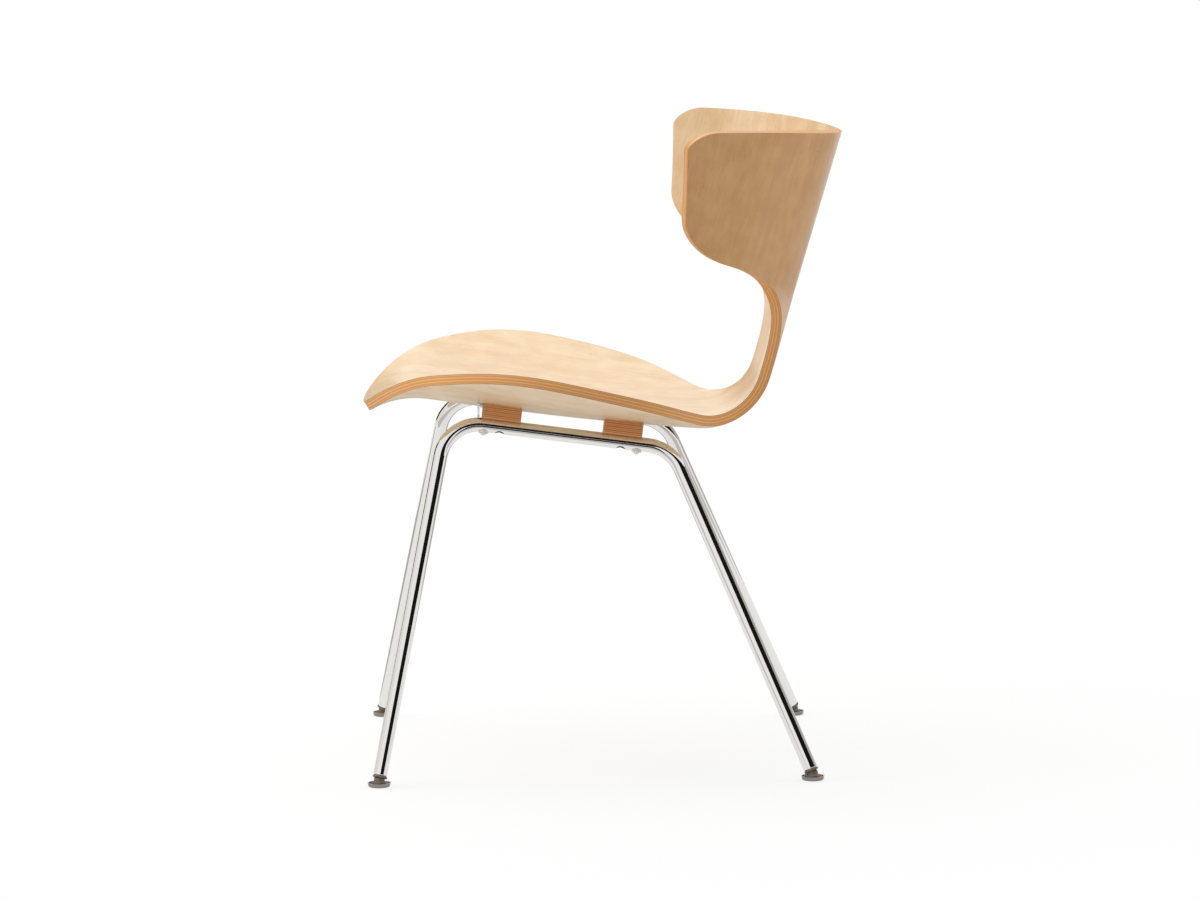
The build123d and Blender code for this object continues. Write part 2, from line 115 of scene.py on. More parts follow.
# Shell: steps in the rounding of its cut edges, and the least angle that counts as an edge
EDGE_SEGMENTS = 3
EDGE_ANGLE = 50.0

# Glides: sections of the collar and of the leg's end, as radius and height up the leg from the ball
COLLAR = [
    (0.0021, 0.0280), (0.0064, 0.0280), (0.0064, 0.0059), (0.0070, 0.0058), (0.0072, 0.0053),
    (0.0079, 0.0052), (0.0083, 0.0048), (0.0084, 0.0042), (0.0083, 0.0036), (0.0079, 0.0031),
    (0.0072, 0.0028), (0.0064, 0.0031), (0.0056, 0.0034), (0.0050, 0.0041), (0.0043, 0.0048),
    (0.0036, 0.0053), (0.0036, 0.0071), (0.0021, 0.0071),
]
LEG_END = [(0.0066, 0.0108), (0.00795, 0.0108), (0.00795, 0.0063), (0.0077, 0.0059), (0.0066, 0.0059)]

# Glides: steps round a turned piece, the gap at which its points merge, and the angle that stays sharp
LATHE_STEPS = 48
MERGE_GAP = 1e-6
SHARP_ANGLE = 30.0

# Rails and spacers: half the rails' spacing and the thickness of a spacer's ply
RAIL_HALF_SPACING = 0.125
SPACER_PLY = 0.0021

# Patterns: layers of detail in coarse, plain and fine ones, and how far each layer counts
COARSE_DETAIL = 2.0
PLAIN_DETAIL = 3.0
FINE_DETAIL = 4.0
PLAIN_CONTRAST = 0.55
FIBRE_CONTRAST = 0.6

# Patterns: places of the sockets on a node that mixes colours
MIX_SHARE = 0
MIX_A = 6
MIX_B = 7
MIX_RESULT = 2

# Veneer: repeats per metre across and along the grain
FIBRE_PITCH = (1500.0, 40.0, 1.0)
BROAD_PITCH = (28.0, 4.0, 1.0)
BAND_PITCH = (160.0, 9.0, 1.0)
BLOTCH_PITCH = (55.0, 34.0, 1.0)
FLECK_PITCH = (900.0, 90.0, 1.0)
PIN_PITCH = 6.5

# Veneer: parts of the figure, and the range over which each mark comes in and how strong it is
BROAD_SHARE = 0.4
BAND_SHARE = 0.22
BLOTCH_SHARE = 0.38
STREAK_RANGE = (0.38, 0.62)
STREAK_STRENGTH = 0.75
FIBRE_RANGE = (0.42, 0.72)
FIBRE_STRENGTH = 0.45
FLECK_RANGE = (0.64, 0.74)
FLECK_STRENGTH = 0.5
PIN_RANGE = (0.003, 0.008)
PIN_STRENGTH = 0.7

# Veneer: shares of the shell's thickness between which it turns from the inner to the outer one, darkened
# with painted shade
OUTSIDE_RANGE = (0.4, 0.6)

# Veneer: roughness and how far fibres raise it, lacquer over it, and height of the fibres
VENEER_ROUGHNESS = 0.36
FIBRE_ROUGHNESS = 0.10
LACQUER = 0.7
LACQUER_ROUGHNESS = 0.34
FIBRE_HEIGHT = 0.00005

# Plies: waviness in plies, repeats per metre of the waves and of the end grain, and parts of a ply's tone
PLY_WAVE = 0.3
WAVE_PITCH = (60.0, 60.0, 60.0)
END_GRAIN_PITCH = (420.0, 420.0, 420.0)
PLY_SHARE = 0.7
END_GRAIN_SHARE = 0.3

# Plies: reach of a glue line in plies, of the rim in shares of the shell's thickness, and their strengths
GLUE_RANGE = (0.05, 0.20)
GLUE_STRENGTH = 0.32
SPACER_GLUE_STRENGTH = 0.75
RIM_RANGE = (0.39, 0.45)
RIM_STRENGTH = 0.65

# Plies: roughness and how far dark plies raise it, lacquer over them, and height of the plies
PLY_ROUGHNESS = 0.42
DARK_PLY_ROUGHNESS = 0.15
EDGE_LACQUER = 0.15
EDGE_LACQUER_ROUGHNESS = 0.35
PLY_HEIGHT = 0.00008

# Metals: roughness, and polishing marks per metre along each axis
POLISHED_CHROME = (0.05, (300.0, 300.0, 40.0))
ZINC_PLATE = (0.30, (200.0, 200.0, 200.0))
PLAIN_BRASS = (0.25, (200.0, 200.0, 200.0))
PRESSED_STEEL = (0.16, (500.0, 500.0, 80.0))
TURNED_STEEL = (0.20, (60.0, 60.0, 900.0))

# Metals: haze per metre, its strength and tone, smoothest share of the roughness, and height of the marks
HAZE_PITCH = (22.0, 22.0, 22.0)
HAZE_STRENGTH = 0.12
HAZE_TONE = 0.8
SMOOTHEST_SHARE = 0.6
MARK_HEIGHT = 0.000004

# Plastics: roughness and share of light let through
CLOUDY_PLASTIC = (0.25, 0.15)
SMOKY_PLASTIC = (0.22, 0.0)

# Plastics: skin and clouds per metre, strength and tone of the clouds, roughness and height of the skin
SKIN_PITCH = (900.0, 900.0, 900.0)
CLOUD_PITCH = (120.0, 120.0, 120.0)
CLOUD_STRENGTH = 0.4
CLOUD_TONE = 0.7
SKIN_ROUGHNESS = 0.15
SKIN_HEIGHT = 0.00002
PLASTIC_IOR = 1.5

# Stage: the floor's size and how far it lies below the shoes, where its white begins, and its roughness
FLOOR_SIZE = 40.0
FLOOR_DROP = 0.0005
FLOOR_FADE_START = 0.3
FLOOR_ROUGHNESS = 0.9

# Stage: the point that the lights aim at, how far the camera sees, and the light of the cards
LIT_POINT = (0.0, 0.0, 0.45)
CAMERA_REACH = 100.0
CARD_COLOUR = (1.0, 0.97, 0.93)

# Stage: square lights, as centre, size, the setting that holds their power, and if the chrome shows them
STUDIO_LIGHTS = {
    "overhead_light": ((-0.6, -0.6, 2.6), 2.4, "key_power", True),
    "front_light": ((0.6, -3.0, 1.6), 1.6, "fill_power", False),
    "rear_light": ((-0.2, 3.0, 1.4), 1.6, "rear_power", False),
}

# Stage: darker parts of the studio that the chrome shows, as brightness, centre, size, and tilt and turn
STUDIO_CARDS = {
    "dark_near": (0.01, (6.56, 6.17, 4.225), (16.1, 6.55), (90.0, 133.25)),
    "dark_far": (0.01, (-2.36, -1.85, 1.375), (3.4, 1.75), (90.0, 128.0)),
    "dark_low": (0.01, (9.0, 0.9, 2.535), (2.0, 4.93), (90.0, 90.0)),
    "dark_high": (0.01, (2.4, 0.25, 2.0), (1.1, 1.7), (90.0, 90.0)),
    "dark_floor": (0.02, (1.75, 0.1, 0.001), (1.9, 0.9), (0.0, 0.0)),
    "dark_floor_far": (0.02, (6.3, 0.35, 0.001), (5.4, 1.1), (0.0, 0.0)),
    "grey_floor": (0.62, (1.0, 0.0, 0.0005), (1.2, 6.0), (0.0, 0.0)),
    "grey_behind": (0.5, (-1.7, 0.0, 0.0005), (2.6, 6.0), (0.0, 0.0)),
    "grey_rear": (0.5, (-1.9, 3.7, 1.45), (4.6, 1.9), (90.0, 0.0)),
    "grey_front": (0.9, (-0.45, -3.4, 0.9), (5.0, 1.5), (90.0, 0.0)),
}

CORNERS = ("front_left", "rear_left", "front_right", "rear_right")


class ShellSettings(bpy.types.PropertyGroup):
    edge_round: bpy.props.FloatProperty(
        name="Edge round",
        description="Rounding of the shell's cut edges",
        default=0.0012,
        unit="LENGTH",
    )
    inner_colour: bpy.props.FloatVectorProperty(
        name="Inner veneer",
        description="Veneer on the sitter's side",
        subtype="COLOR",
        default=(0.78, 0.592, 0.372),
    )
    # Outer veneer: the veneer's own tone, darkened with painted shade for the outside of the back
    outer_veneer_and_painted_shade: bpy.props.FloatVectorProperty(
        name="Outer veneer",
        description="Veneer on the outside of the back",
        subtype="COLOR",
        default=(0.565, 0.307, 0.108),
    )
    streak_colour: bpy.props.FloatVectorProperty(
        name="Veneer streaks",
        description="Tint of the darker figure in the veneer",
        subtype="COLOR",
        default=(0.84, 0.72, 0.56),
    )
    pin_colour: bpy.props.FloatVectorProperty(
        name="Pin knots",
        description="Small dark knots in the veneer",
        subtype="COLOR",
        default=(0.14, 0.06, 0.02),
    )
    ply_light: bpy.props.FloatVectorProperty(
        name="Light plies",
        description="Plies cut along their grain",
        subtype="COLOR",
        default=(0.80, 0.40, 0.130),
    )
    ply_dark: bpy.props.FloatVectorProperty(
        name="Dark plies",
        description="Plies cut across their grain",
        subtype="COLOR",
        default=(0.55, 0.24, 0.066),
    )
    glue_colour: bpy.props.FloatVectorProperty(
        name="Glue lines",
        description="Lines between the shell's plies",
        subtype="COLOR",
        default=(0.20, 0.085, 0.025),
    )
    rim_colour: bpy.props.FloatVectorProperty(
        name="Rim",
        description="Darker corners of the cut edge",
        subtype="COLOR",
        default=(0.24, 0.11, 0.035),
    )
    spacer_light: bpy.props.FloatVectorProperty(
        name="Light spacer plies",
        description="Spacers' plies cut along their grain",
        subtype="COLOR",
        default=(0.54, 0.205, 0.054),
    )
    spacer_dark: bpy.props.FloatVectorProperty(
        name="Dark spacer plies",
        description="Spacers' plies cut across their grain",
        subtype="COLOR",
        default=(0.40, 0.142, 0.033),
    )
    spacer_line: bpy.props.FloatVectorProperty(
        name="Spacer lines",
        description="Pale lines between the spacers' plies",
        subtype="COLOR",
        default=(0.84, 0.44, 0.19),
    )
    ply_count: bpy.props.IntProperty(
        name="Plies",
        description="Veneers through the shell's thickness",
        default=7,
    )


class MetalSettings(bpy.types.PropertyGroup):
    chrome_colour: bpy.props.FloatVectorProperty(
        name="Chrome",
        description="Plating on the tubes and brace",
        subtype="COLOR",
        default=(0.792, 0.781, 0.760),
    )
    steel_colour: bpy.props.FloatVectorProperty(
        name="Steel",
        description="Studs, screws and washers",
        subtype="COLOR",
        default=(0.47, 0.45, 0.43),
    )
    shoe_colour: bpy.props.FloatVectorProperty(
        name="Shoe steel",
        description="Pressed shoes under the glides",
        subtype="COLOR",
        default=(0.25, 0.235, 0.23),
    )
    brass_colour: bpy.props.FloatVectorProperty(
        name="Brass",
        description="Threaded inserts",
        subtype="COLOR",
        default=(0.66, 0.48, 0.20),
    )


class PlasticSettings(bpy.types.PropertyGroup):
    glide_colour: bpy.props.FloatVectorProperty(
        name="Glide plastic",
        description="Collars and sockets",
        subtype="COLOR",
        default=(0.165, 0.128, 0.098),
    )
    bumper_colour: bpy.props.FloatVectorProperty(
        name="Bumper plastic",
        description="Cloudy stacking bumpers",
        subtype="COLOR",
        default=(0.86, 0.86, 0.83),
    )


class StageSettings(bpy.types.PropertyGroup):
    camera_place: bpy.props.FloatVectorProperty(
        name="Camera",
        description="Camera position",
        subtype="TRANSLATION",
        default=(7.44606, -0.15810, 1.29927),
    )
    camera_turn: bpy.props.FloatVectorProperty(
        name="Camera turn",
        description="Yaw, pitch and roll in degrees",
        default=(-1.18975, 7.30415, -0.32673),
    )
    camera_lens: bpy.props.FloatProperty(
        name="Lens",
        description="Focal length in millimetres",
        default=197.5,
    )
    floor_colour: bpy.props.FloatVectorProperty(
        name="Floor",
        description="Colour of the floor",
        subtype="COLOR",
        default=(0.86, 0.86, 0.85),
    )
    floor_glow: bpy.props.FloatProperty(
        name="Floor glow",
        description="Share of the floor that is lit by itself",
        default=0.8,
    )
    floor_reach: bpy.props.FloatProperty(
        name="Floor reach",
        description="Distance at which the floor is as white as the backdrop",
        default=1.1,
        unit="LENGTH",
    )
    world_light: bpy.props.FloatProperty(
        name="World light",
        description="Strength of the soft light all round",
        default=0.64,
    )
    key_power: bpy.props.FloatProperty(
        name="Key light",
        description="Power of the overhead light",
        default=37.0,
        unit="POWER",
    )
    rear_power: bpy.props.FloatProperty(
        name="Rear light",
        description="Power of the light behind the chair",
        default=18.0,
        unit="POWER",
    )
    fill_power: bpy.props.FloatProperty(
        name="Fill light",
        description="Power of the light on the sitter's side",
        default=32.0,
        unit="POWER",
    )


# Shape of the shell

def smooth(share):
    share = np.clip(share, 0.0, 1.0)
    return share ** 3 * (10 - 15 * share + 6 * share * share)


def mix(a, b, share):
    return a + (b - a) * share


def station(run):
    """Centre line of the inner face, by length from the start of the bend.

    Gives Y, Z, the angle there and the length up the back.
    """
    slope = math.radians(SEAT_SLOPE)
    ahead = np.clip(-run, 0, None)
    on_seat = np.minimum(ahead, SEAT_DEPTH - NOSE_LENGTH)
    rise = slope + on_seat / SEAT_SAG_RADIUS
    roll = rise - (ahead - on_seat) / NOSE_ROLL_RADIUS
    y = SEAT_REAR_Y - SEAT_SAG_RADIUS * (np.sin(rise) - math.sin(slope))
    z = SEAT_REAR_HEIGHT + SEAT_SAG_RADIUS * (math.cos(slope) - np.cos(rise))
    y = y - NOSE_ROLL_RADIUS * (np.sin(rise) - np.sin(roll))
    z = z + NOSE_ROLL_RADIUS * (np.cos(roll) - np.cos(rise))
    behind = np.clip(run, 0, None)
    on_bend = np.minimum(behind, BEND_RADIUS * math.radians(90 - BACK_LEAN + SEAT_SLOPE))
    angle = on_bend / BEND_RADIUS - roll
    on_back = behind - on_bend
    y = y + BEND_RADIUS * (np.sin(angle) + np.sin(roll)) + on_back * np.cos(angle)
    z = z + BEND_RADIUS * (np.cos(roll) - np.cos(angle)) + on_back * np.sin(angle)
    return y, z, angle, on_back


def inner_face(x, run):
    """Points of the shell's inner face."""
    y, z, angle, on_back = station(run)
    seat_length = SEAT_DEPTH - NOSE_LENGTH
    dish = 1 / mix(1 / DISH_RADIUS_FRONT, 1 / DISH_RADIUS_REAR, smooth((run + seat_length) / seat_length))
    wing = smooth((on_back - WING_BLEND_START) / WING_BLEND_LENGTH)
    half_width = mix(dish, WING_WRAP_WIDTH / 2, wing)
    depth = mix(dish, WING_WRAP_DEPTH, wing)
    sag = depth * (1 - np.sqrt(1 - (x / half_width) ** 2))
    return np.stack([x, y - np.sin(angle) * sag, z + np.cos(angle) * sag], axis=-1)


def run_at(x, target, axis):
    """Length along the shell at which its inner face reaches a given Y (axis 1) or Z (axis 2)."""
    low = np.full(len(x), -SEAT_DEPTH - NOSE_LENGTH if axis == 1 else 0.0)
    high = np.full(len(x), BACK_HEIGHT * 2)
    for _ in range(HALVINGS):
        middle = (low + high) / 2
        short = inner_face(x, middle)[:, axis] < target
        low = np.where(short, middle, low)
        high = np.where(short, high, middle)
    return middle


def spline(points, start, end, samples=CURVE_POINTS):
    """Smooth curve through points with the given end directions."""
    p = np.array(points, float)
    t = np.concatenate([[0], np.cumsum(np.linalg.norm(np.diff(p, axis=0), axis=1))])
    count = len(p)
    system = np.eye(count)
    sides = np.zeros((count, 2))
    sides[0] = np.array(start) / np.linalg.norm(start)
    sides[-1] = np.array(end) / np.linalg.norm(end)
    for i in range(1, count - 1):
        before, after = t[i] - t[i - 1], t[i + 1] - t[i]
        system[i, i - 1:i + 2] = after, 2 * (before + after), before
        sides[i] = 3 * (after * (p[i] - p[i - 1]) / before + before * (p[i + 1] - p[i]) / after)
    slopes = np.linalg.solve(system, sides)
    s = np.linspace(0, t[-1], samples)
    i = np.clip(np.searchsorted(t, s, side="right") - 1, 0, count - 2)
    h = (t[i + 1] - t[i])[:, None]
    u = (s[:, None] - t[i][:, None]) / h
    return (
        (1 + 2 * u) * (1 - u) ** 2 * p[i] + u * (1 - u) ** 2 * h * slopes[i]
        + u * u * (3 - 2 * u) * p[i + 1] + u * u * (u - 1) * h * slopes[i + 1]
    )


def even(curve, count):
    """The same curve in equal steps along the shell."""
    steps = np.linalg.norm(np.diff(inner_face(curve[:, 0], curve[:, 1]), axis=0), axis=1)
    length = np.concatenate([[0], np.cumsum(steps)])
    places = np.linspace(0, length[-1], count + 1)
    return np.stack([np.interp(places, length, curve[:, k]) for k in (0, 1)], axis=-1)


def nose_ellipse(angles):
    """Front edge of the seat in plan, as half width and length along the shell."""
    x = SEAT_WIDTH / 2 * np.cos(angles)
    y = SEAT_REAR_Y - SEAT_WIDEST_DEPTH - (SEAT_DEPTH - SEAT_WIDEST_DEPTH) * np.sin(angles)
    return np.stack([x, run_at(x, y, 1)], axis=-1)


def from_front(points):
    """Half widths and heights in the front view, as half width and length along the shell."""
    return np.stack([points[:, 0], run_at(points[:, 0], points[:, 1], 2)], axis=-1)


def shell_outline():
    """Front edge, left side and top edge of the shell, each as places on its inner face."""
    corner = math.radians(NOSE_CORNER)
    top = SEAT_REAR_HEIGHT + BACK_HEIGHT
    at = {
        name: (place[0], top - place[1])
        for name, place in {
            "waist": WAIST_TOP, "flare": FLARE, "root": WING_ROOT, "lower": WING_LOWER,
            "front": WING_FRONT, "shoulder": WING_SHOULDER, "tip": WING_TIP,
        }.items()
    }
    edge = np.subtract(at["shoulder"], at["front"])
    rise = np.subtract(at["lower"], at["root"])
    crest = (-WING_TIP[0], WING_TIP[1])
    seat = spline([(x, SEAT_REAR_Y + y) for x, y in SEAT_SIDE], (0, 1), (0, 1), SIDE_POINTS)
    wing = np.concatenate([
        spline([at["waist"], at["flare"], at["root"], at["lower"]], (0, 1), rise, SIDE_POINTS),
        spline([at["lower"], at["front"]], rise, edge)[1:],
        spline([at["front"], at["shoulder"]], edge, edge)[1:],
        spline([at["shoulder"], at["tip"]], edge, crest)[1:],
    ])
    side = np.concatenate([
        nose_ellipse(np.linspace(corner, 0, SIDE_POINTS)),
        np.stack([seat[1:, 0], run_at(seat[1:, 0], seat[1:, 1], 1)], axis=-1),
        from_front(wing),
    ])
    half_top = from_front(spline([at["tip"], (0, top)], crest, (-1, 0)))
    mirror = np.array([-1, 1])
    front = nose_ellipse(np.linspace(math.pi - corner, corner, NOSE_POINTS))
    whole_top = np.concatenate([half_top * mirror, half_top[-2::-1]])
    return even(front, SHELL_COLUMNS), even(side, SHELL_ROWS), even(whole_top, SHELL_COLUMNS)


def shell_places():
    """Rows of places that fill the shell's outline."""
    front, side, top = shell_outline()
    v = np.linspace(0, 1, SHELL_ROWS + 1)[:, None, None]
    u = np.linspace(0, 1, SHELL_COLUMNS + 1)[None, :, None]
    left, right = (side * (-1, 1))[:, None], side[:, None]
    ends = (1 - v) * ((1 - u) * front[0] + u * front[-1]) + v * ((1 - u) * top[0] + u * top[-1])
    return (1 - v) * front[None] + v * top[None] + (1 - u) * left + u * right - ends


# Modelling helpers

def deselect():
    if bpy.context.mode != "OBJECT":
        bpy.ops.object.mode_set(mode="OBJECT")
    bpy.ops.object.select_all(action="DESELECT")


def activate(piece):
    deselect()
    piece.select_set(True)
    bpy.context.view_layer.objects.active = piece


def apply_modifiers(piece):
    activate(piece)
    for modifier in list(piece.modifiers):
        bpy.ops.object.modifier_apply(modifier=modifier.name)


def lathe(name, profile, material):
    """Turned piece about Z from a closed profile of radii and heights."""
    deselect()
    bpy.ops.mesh.primitive_circle_add(vertices=len(profile), radius=1.0)
    piece = bpy.context.object
    piece.name = name
    for vertex, (radius, height) in zip(piece.data.vertices, profile):
        vertex.co = (radius, 0, height)
    bpy.ops.object.mode_set(mode="EDIT")
    bpy.ops.mesh.select_all(action="SELECT")
    bpy.ops.mesh.spin(steps=LATHE_STEPS, angle=2 * math.pi, center=(0, 0, 0), axis=(0, 0, 1))
    bpy.ops.mesh.select_all(action="SELECT")
    bpy.ops.mesh.remove_doubles(threshold=MERGE_GAP)
    bpy.ops.mesh.normals_make_consistent(inside=False)
    bpy.ops.object.mode_set(mode="OBJECT")
    piece.data.materials.append(material)
    bpy.ops.object.shade_smooth_by_angle(angle=math.radians(SHARP_ANGLE))
    return piece


def glide(corner):
    """Centre of a glide's ball and the direction of its leg."""
    joint = next(joint for joint in frame["joints"] if joint["name"] == f"glide_swivel_{corner}")
    return Vector(joint["pos_m"]), Vector(joint["axis"]).normalized()


def copy_to_leg(shape, corner):
    """Copy of a turned piece, with its own mesh, up the leg from the ball at a corner."""
    ball, leg = glide(corner)
    piece = shape.copy()
    piece.name = f"{shape.name}_{corner}"
    piece.data = shape.data.copy()
    piece.data.transform(Matrix.Translation(ball) @ leg.to_track_quat("Z", "Y").to_matrix().to_4x4())
    bpy.context.collection.objects.link(piece)
    return piece


def rail_bend(corner):
    """Point where the line of a left leg meets the plane of its rail."""
    ball, leg = glide(corner)
    return ball + leg * ((RAIL_HALF_SPACING - ball.x) / leg.x)


def dress(names, material):
    """Gives CAD nodes a material."""
    for name in names:
        mesh = frame["nodes"][name].data
        mesh.materials.clear()
        mesh.materials.append(material)


def at_corners(stem):
    return [f"{stem}_{corner}" for corner in CORNERS]


# Materials

def new_material(name):
    material = bpy.data.materials.new(name)
    material.use_nodes = True
    return material, material.node_tree, material.node_tree.nodes["Principled BSDF"]


def set_socket(node, name, value):
    node.inputs[name].default_value = value


def feed(tree, value, socket):
    """Links a value to a socket, or sets the socket where the value is a plain number or colour."""
    if isinstance(value, bpy.types.NodeSocket):
        tree.links.new(value, socket)
    elif socket.type == "RGBA":
        socket.default_value = (*value, 1.0)
    else:
        socket.default_value = value


def math_node(tree, operation, *values):
    node = tree.nodes.new("ShaderNodeMath")
    node.operation = operation
    for value, socket in zip(values, node.inputs):
        feed(tree, value, socket)
    return node.outputs[0]


def scaled(tree, value, share):
    return math_node(tree, "MULTIPLY", value, share)


def colour_mix(tree, share, a, b, blend="MIX"):
    node = tree.nodes.new("ShaderNodeMix")
    node.data_type = "RGBA"
    node.blend_type = blend
    for value, index in ((share, MIX_SHARE), (a, MIX_A), (b, MIX_B)):
        feed(tree, value, node.inputs[index])
    return node.outputs[MIX_RESULT]


def stretched_noise(tree, vector, pitch, detail=PLAIN_DETAIL, contrast=PLAIN_CONTRAST):
    """Noise with its own repeats per metre along each axis."""
    mapping = tree.nodes.new("ShaderNodeMapping")
    set_socket(mapping, "Scale", pitch)
    tree.links.new(vector, mapping.inputs["Vector"])
    noise = tree.nodes.new("ShaderNodeTexNoise")
    set_socket(noise, "Scale", 1.0)
    set_socket(noise, "Detail", detail)
    set_socket(noise, "Roughness", contrast)
    tree.links.new(mapping.outputs["Vector"], noise.inputs["Vector"])
    return noise.outputs["Fac"]


def ramp(tree, value, low, high):
    """0 below low, 1 above high."""
    node = tree.nodes.new("ShaderNodeMapRange")
    node.interpolation_type = "SMOOTHSTEP"
    set_socket(node, "From Min", low)
    set_socket(node, "From Max", high)
    tree.links.new(value, node.inputs["Value"])
    return node.outputs["Result"]


def add_roughness(tree, shader, pattern, span, least):
    """Roughness that rises with a pattern."""
    tree.links.new(math_node(tree, "MULTIPLY_ADD", pattern, span, least), shader.inputs["Roughness"])


def add_bump(tree, shader, height, distance):
    bump = tree.nodes.new("ShaderNodeBump")
    set_socket(bump, "Distance", distance)
    tree.links.new(height, bump.inputs["Height"])
    tree.links.new(bump.outputs["Normal"], shader.inputs["Normal"])


def new_group(name, inputs, outputs):
    group = bpy.data.node_groups.new(name, "ShaderNodeTree")
    for label, kind in inputs:
        group.interface.new_socket(label, in_out="INPUT", socket_type=kind)
    for label, kind in outputs:
        group.interface.new_socket(label, in_out="OUTPUT", socket_type=kind)
    return group, group.nodes.new("NodeGroupInput"), group.nodes.new("NodeGroupOutput")


def wood_fibre_group():
    """Fibres, figure, flecks and pin knots of a maple veneer whose grain runs along Y of the vector."""
    group, source, result = new_group(
        "wood_fibre",
        [("Vector", "NodeSocketVector")],
        [(label, "NodeSocketFloat") for label in ("Fibre", "Figure", "Fleck", "Pin")],
    )
    vector = source.outputs["Vector"]
    fibre = stretched_noise(group, vector, FIBRE_PITCH, FINE_DETAIL, FIBRE_CONTRAST)
    broad = stretched_noise(group, vector, BROAD_PITCH)
    bands = stretched_noise(group, vector, BAND_PITCH)
    blotch = stretched_noise(group, vector, BLOTCH_PITCH)
    figure = math_node(group, "MULTIPLY_ADD", broad, BROAD_SHARE, scaled(group, bands, BAND_SHARE))
    figure = math_node(group, "MULTIPLY_ADD", blotch, BLOTCH_SHARE, figure)
    fleck = ramp(group, stretched_noise(group, vector, FLECK_PITCH, COARSE_DETAIL), *FLECK_RANGE)
    cells = group.nodes.new("ShaderNodeTexVoronoi")
    cells.voronoi_dimensions = "2D"
    set_socket(cells, "Scale", PIN_PITCH)
    group.links.new(vector, cells.inputs["Vector"])
    pin = math_node(group, "SUBTRACT", 1.0, ramp(group, cells.outputs["Distance"], *PIN_RANGE))
    for label, socket in (("Fibre", fibre), ("Figure", figure), ("Fleck", fleck), ("Pin", pin)):
        group.links.new(socket, result.inputs[label])
    return group


def ply_lines_group():
    """Plies by depth through a board: a tone for each ply and a thin line of glue between plies."""
    group, source, result = new_group(
        "ply_lines",
        [("Depth", "NodeSocketFloat"), ("Ply", "NodeSocketFloat"), ("Vector", "NodeSocketVector")],
        [("Tone", "NodeSocketFloat"), ("Line", "NodeSocketFloat")],
    )
    wave = stretched_noise(group, source.outputs["Vector"], WAVE_PITCH, COARSE_DETAIL)
    wave = math_node(group, "MULTIPLY_ADD", wave, PLY_WAVE, -PLY_WAVE / 2)
    level = math_node(group, "DIVIDE", source.outputs["Depth"], source.outputs["Ply"])
    level = math_node(group, "ADD", level, wave)
    odd = math_node(group, "MODULO", math_node(group, "FLOOR", level), 2.0)
    end_grain = stretched_noise(group, source.outputs["Vector"], END_GRAIN_PITCH)
    tone = math_node(group, "MULTIPLY_ADD", odd, PLY_SHARE, scaled(group, end_grain, END_GRAIN_SHARE))
    part = math_node(group, "FRACT", level)
    nearest = math_node(group, "MINIMUM", part, math_node(group, "SUBTRACT", 1.0, part))
    line = math_node(group, "SUBTRACT", 1.0, ramp(group, nearest, *GLUE_RANGE))
    group.links.new(tone, result.inputs["Tone"])
    group.links.new(line, result.inputs["Line"])
    return group


def use_group(tree, group):
    node = tree.nodes.new("ShaderNodeGroup")
    node.node_tree = group
    return node


def object_place(tree):
    return tree.nodes.new("ShaderNodeTexCoord").outputs["Object"]


def attribute(tree, name):
    node = tree.nodes.new("ShaderNodeAttribute")
    node.attribute_name = name
    return node.outputs["Fac"]


def veneer_material(settings, fibre_group):
    """Pale lacquered maple on the shell's two faces, with painted shade in the outer veneer on the back.
    """
    material, tree, shader = new_material("maple_veneer")
    grain = tree.nodes.new("ShaderNodeUVMap")
    grain.uv_map = "grain"
    wood = use_group(tree, fibre_group)
    tree.links.new(grain.outputs["UV"], wood.inputs["Vector"])
    along = tree.nodes.new("ShaderNodeSeparateXYZ")
    tree.links.new(grain.outputs["UV"], along.inputs[0])
    outside = ramp(tree, attribute(tree, "depth"), *(SHELL_THICKNESS * share for share in OUTSIDE_RANGE))
    # Painted shade: the darker outer veneer covers the outside face of the back, fading in from the bend,
    # and not the underside of the seat
    behind = math_node(tree, "MULTIPLY", outside, ramp(tree, along.outputs["Y"], 0.0, BACK_HEIGHT / 2))
    colour = colour_mix(tree, behind, settings.inner_colour, settings.outer_veneer_and_painted_shade)
    streak = scaled(tree, ramp(tree, wood.outputs["Figure"], *STREAK_RANGE), STREAK_STRENGTH)
    fibre = scaled(tree, ramp(tree, wood.outputs["Fibre"], *FIBRE_RANGE), FIBRE_STRENGTH)
    fleck = scaled(tree, wood.outputs["Fleck"], FLECK_STRENGTH)
    for mark in (streak, fibre, fleck):
        colour = colour_mix(tree, mark, colour, settings.streak_colour, "MULTIPLY")
    colour = colour_mix(tree, scaled(tree, wood.outputs["Pin"], PIN_STRENGTH), colour, settings.pin_colour)
    tree.links.new(colour, shader.inputs["Base Color"])
    add_roughness(tree, shader, wood.outputs["Fibre"], FIBRE_ROUGHNESS, VENEER_ROUGHNESS)
    set_socket(shader, "Coat Weight", LACQUER)
    set_socket(shader, "Coat Roughness", LACQUER_ROUGHNESS)
    add_bump(tree, shader, wood.outputs["Fibre"], FIBRE_HEIGHT)
    return material


def finish_plies(tree, shader, colour, tone):
    """Thin lacquer over cut plies, with roughness and height by their tone."""
    tree.links.new(colour, shader.inputs["Base Color"])
    add_roughness(tree, shader, tone, DARK_PLY_ROUGHNESS, PLY_ROUGHNESS)
    set_socket(shader, "Coat Weight", EDGE_LACQUER)
    add_bump(tree, shader, tone, PLY_HEIGHT)


